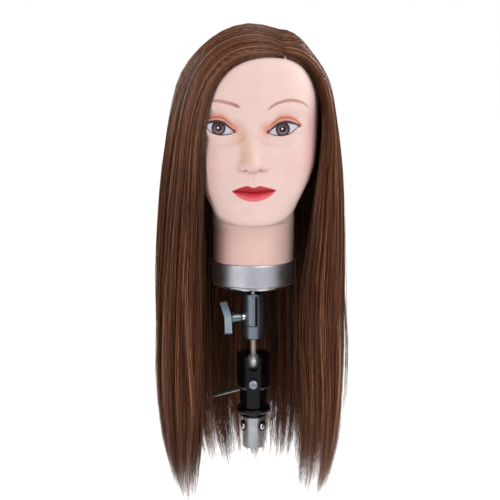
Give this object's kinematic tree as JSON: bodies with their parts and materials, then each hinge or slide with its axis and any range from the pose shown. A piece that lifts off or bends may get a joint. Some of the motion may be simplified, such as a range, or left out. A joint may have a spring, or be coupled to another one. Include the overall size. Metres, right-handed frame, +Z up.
{
  "type": "mannequin training head",
  "caption": "Hairdressing practice head with long straight hair, a banded neck base and a clamping receiver on a lockable ball joint over a tube end.",
  "frame": {"origin": "centre of the open lower end of the holder's tube, on the tube's axis", "axes": "+Z up along the tube and the head, -Y where the face looks, +X to the face's left hand side, which is the right of a front view"},
  "size_m": [0.2028, 0.2086, 0.5005],
  "materials": {
    "skin": "soft satin vinyl with painted make-up",
    "foam": "rigid foam, matte",
    "eye": "glossy clear-coated",
    "hair": "long straight chestnut fibres with a soft sheen",
    "silver_band": "satin silver",
    "chrome": "polished",
    "steel": "zinc plated",
    "tube_steel": "satin grey",
    "barrel_steel": "turned, satin chrome",
    "cast_alloy": "cast and plated, satin",
    "black_alloy": "black semi-gloss coating",
    "lever_steel": "black with worn bright edges",
    "nylon": "plain",
    "socket_plastic": "moulded"
  },
  "bodies": {
    "holder": {"stand_tube": "tube_steel", "base_collar": "black_alloy", "housing_front": "black_alloy", "housing_rear": "black_alloy", "clamp_bolt": "chrome", "lever_washer": "steel", "tube_screw_1": "chrome", "tube_screw_2": "chrome", "tube_screw_3": "chrome"},
    "lever": {"lever_nut": "steel", "lock_lever": "lever_steel"},
    "seat": {"ball_seat": "nylon"},
    "ball": {"tilt_ball": "chrome"},
    "receiver": {"tilt_rod": "chrome", "receiver_barrel": "barrel_steel", "clamp_bush": "chrome"},
    "pad": {"clamp_pad": "nylon"},
    "screw": {"clamp_screw": "cast_alloy", "clamp_handle": "cast_alloy"},
    "head": {"spigot": "chrome", "spigot_washer": "steel", "spigot_nut": "steel", "base_plate": "chrome", "neck_socket": "socket_plastic", "neck_band": "silver_band", "head_skin": "skin", "foam_core": "foam", "left_eye": "eye", "right_eye": "eye", "hair_cap_left": "hair", "hair_cap_right": "hair", "hair_side_left": "hair", "hair_side_right": "hair", "hair_back": "hair", "base_screw_1": "steel", "base_screw_2": "steel", "base_screw_3": "steel"}
  },
  "joints": [
    {"name": "lock_lever_turn", "type": "hinge", "parent": "holder", "child": "lever", "pos_m": [0, 0.022, 0.0745], "axis": [0, 1, 0], "range_deg": [-60, 60]},
    {"name": "ball_roll", "type": "hinge", "parent": "holder", "child": "seat", "pos_m": [0, 0, 0.0934], "axis": [0, 1, 0], "range_deg": [-15, 15]},
    {"name": "ball_pitch", "type": "hinge", "parent": "seat", "child": "ball", "pos_m": [0, 0, 0.0934], "axis": [1, 0, 0], "range_deg": [-15, 90], "deforming": ["hair_side_left", "hair_side_right", "hair_back"]},
    {"name": "ball_spin", "type": "hinge", "parent": "ball", "child": "receiver", "pos_m": [0, 0, 0.0934], "axis": [0, 0, 1], "continuous": true},
    {"name": "clamp_pad_travel", "type": "slide", "parent": "receiver", "child": "pad", "axis": [-0.9397, -0.342, 0], "range_m": [0, 0.0026]},
    {"name": "clamp_screw_turn", "type": "hinge", "parent": "pad", "child": "screw", "pos_m": [0, 0, 0.1446], "axis": [-0.9397, -0.342, 0], "range_deg": [0, 720]},
    {"name": "head_lift", "type": "slide", "parent": "receiver", "child": "head", "axis": [0, 0, 1], "range_m": [0, 0.045]}
  ],
  "couplings": [
    {"joint": "clamp_pad_travel", "follows": "clamp_screw_turn", "m_per_rad": 0.00019894}
  ]
}
